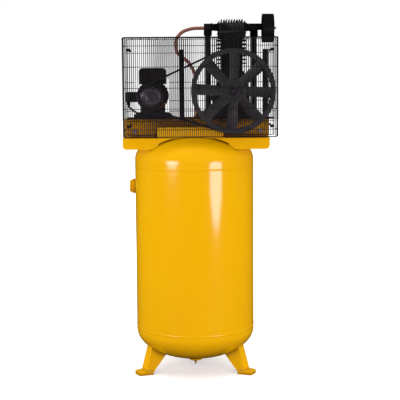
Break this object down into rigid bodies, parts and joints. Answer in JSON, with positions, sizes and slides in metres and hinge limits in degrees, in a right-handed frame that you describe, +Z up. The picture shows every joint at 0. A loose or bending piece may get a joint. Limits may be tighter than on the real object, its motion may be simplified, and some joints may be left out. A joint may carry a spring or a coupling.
{
  "type": "upright piston air compressor",
  "caption": "Upright two-stage piston air compressor: domed tank on pressed legs, with a belt-driven pump and motor inside a wire guard on top.",
  "frame": {"origin": "on the floor, at the centre of the circle of foot holes, under the tank's axis", "axes": "+Z up along the tank; -Y is the front, with the flywheel and guard; +X is towards the pump and filter"},
  "size_m": [0.785, 0.7345, 1.851],
  "materials": {
    "yellow_paint": "glossy enamel",
    "black_wire": "satin powder coat",
    "zinc_plate": "bright zinc",
    "black_enamel": "satin enamel",
    "black_cast_iron": "painted casting",
    "dark_pipe": "satin enamel",
    "machined_steel": "machined",
    "laminated_steel": "laminated, varnished",
    "aluminium": "machined",
    "belt_rubber": "matt",
    "copper": "oxidised copper",
    "brass": "machined",
    "black_plastic": "fine grain",
    "red_plastic": "satin",
    "clear_glass": "clear",
    "filter_paper": "dark pleated paper"
  },
  "bodies": {
    "compressor": {"tank_shell": "yellow_paint", "tank_top_head": "yellow_paint", "tank_bottom_head": "yellow_paint", "tank_couplings": "yellow_paint", "side_port_plug": "yellow_paint", "tank_legs": "yellow_paint", "drain_cock_body": "brass", "check_valve": "brass", "platform": "yellow_paint", "deck_bolts": "zinc_plate", "guard_front": "black_wire", "guard_rear": "black_wire", "guard_side_meshes": "black_wire", "guard_posts": "black_wire", "guard_clips": "black_wire", "motor_shell": "black_enamel", "motor_end_bells": "black_enamel", "motor_stator": "laminated_steel", "motor_base": "black_enamel", "motor_rails": "black_enamel", "capacitor_cover": "black_enamel", "conduit_box": "black_enamel", "motor_cable": "belt_rubber", "cable_grommets": "belt_rubber", "crankcase": "black_cast_iron", "oil_sight_glass": "clear_glass", "oil_filler": "black_plastic", "crankcase_covers": "black_cast_iron", "cylinder_block": "black_cast_iron", "valve_plate": "black_cast_iron", "cylinder_head": "black_cast_iron", "head_bolts": "zinc_plate", "drive_belts": "belt_rubber", "intake_pipe": "dark_pipe", "filter_element": "filter_paper", "filter_cover": "dark_pipe", "filter_wing_nut": "zinc_plate", "intercooler_tube": "dark_pipe", "head_fittings": "dark_pipe", "discharge_tube": "copper", "unloader_tube": "copper", "pressure_manifold": "brass", "pressure_switch": "black_plastic", "gauge_case": "brass", "gauge_lens": "clear_glass", "safety_valve": "brass", "outlet_valve_body": "brass"},
    "flywheel": {"flywheel_rim": "black_cast_iron", "flywheel_spokes": "black_cast_iron", "flywheel_nut": "black_cast_iron", "crankshaft": "machined_steel"},
    "motor_rotor": {"motor_rotor": "machined_steel", "motor_pulley": "black_cast_iron"},
    "low_pressure_piston": {"low_pressure_piston": "aluminium"},
    "high_pressure_piston": {"high_pressure_piston": "aluminium"},
    "drain_cock_handle": {"drain_cock_handle": "brass"},
    "switch_lever": {"switch_lever": "red_plastic"},
    "gauge_needle": {"gauge_needle": "black_plastic"},
    "safety_valve_ring": {"safety_valve_ring": "brass"},
    "outlet_valve_lever": {"outlet_valve_lever": "black_plastic"}
  },
  "joints": [
    {"name": "flywheel_spin", "type": "hinge", "parent": "compressor", "child": "flywheel", "pos_m": [0.198, 0, 1.46], "axis": [0, 1, 0], "continuous": true},
    {"name": "motor_spin", "type": "hinge", "parent": "compressor", "child": "motor_rotor", "pos_m": [-0.212, 0, 1.433], "axis": [0, 1, 0], "continuous": true},
    {"name": "low_pressure_stroke", "type": "slide", "parent": "compressor", "child": "low_pressure_piston", "axis": [0, 0, -1], "range_m": [0, 0.07]},
    {"name": "high_pressure_stroke", "type": "slide", "parent": "compressor", "child": "high_pressure_piston", "axis": [0, 0, -1], "range_m": [0, 0.07]},
    {"name": "drain_cock_turn", "type": "hinge", "parent": "compressor", "child": "drain_cock_handle", "pos_m": [0, 0, 0.012], "axis": [0, 0, 1], "range_deg": [0, 270]},
    {"name": "switch_lever_flip", "type": "hinge", "parent": "compressor", "child": "switch_lever", "pos_m": [-0.107, 0.25, 1.285], "axis": [1, 0, 0], "range_deg": [0, 90]},
    {"name": "gauge_needle_sweep", "type": "hinge", "parent": "compressor", "child": "gauge_needle", "pos_m": [-0.15, 0.286, 1.211], "axis": [0, -1, 0], "range_deg": [0, 270], "stiffness_Nm_per_rad": 0.0005},
    {"name": "safety_ring_pull", "type": "slide", "parent": "compressor", "child": "safety_valve_ring", "axis": [-1, 0, 0], "range_m": [0, 0.006], "stiffness_N_per_m": 400},
    {"name": "outlet_lever_turn", "type": "hinge", "parent": "compressor", "child": "outlet_valve_lever", "pos_m": [0, 0.362, 0.935], "axis": [0, 0, 1], "range_deg": [0, 90]}
  ],
  "couplings": [
    {"joint": "motor_spin", "follows": "flywheel_spin", "ratio": 3.3934}
  ]
}
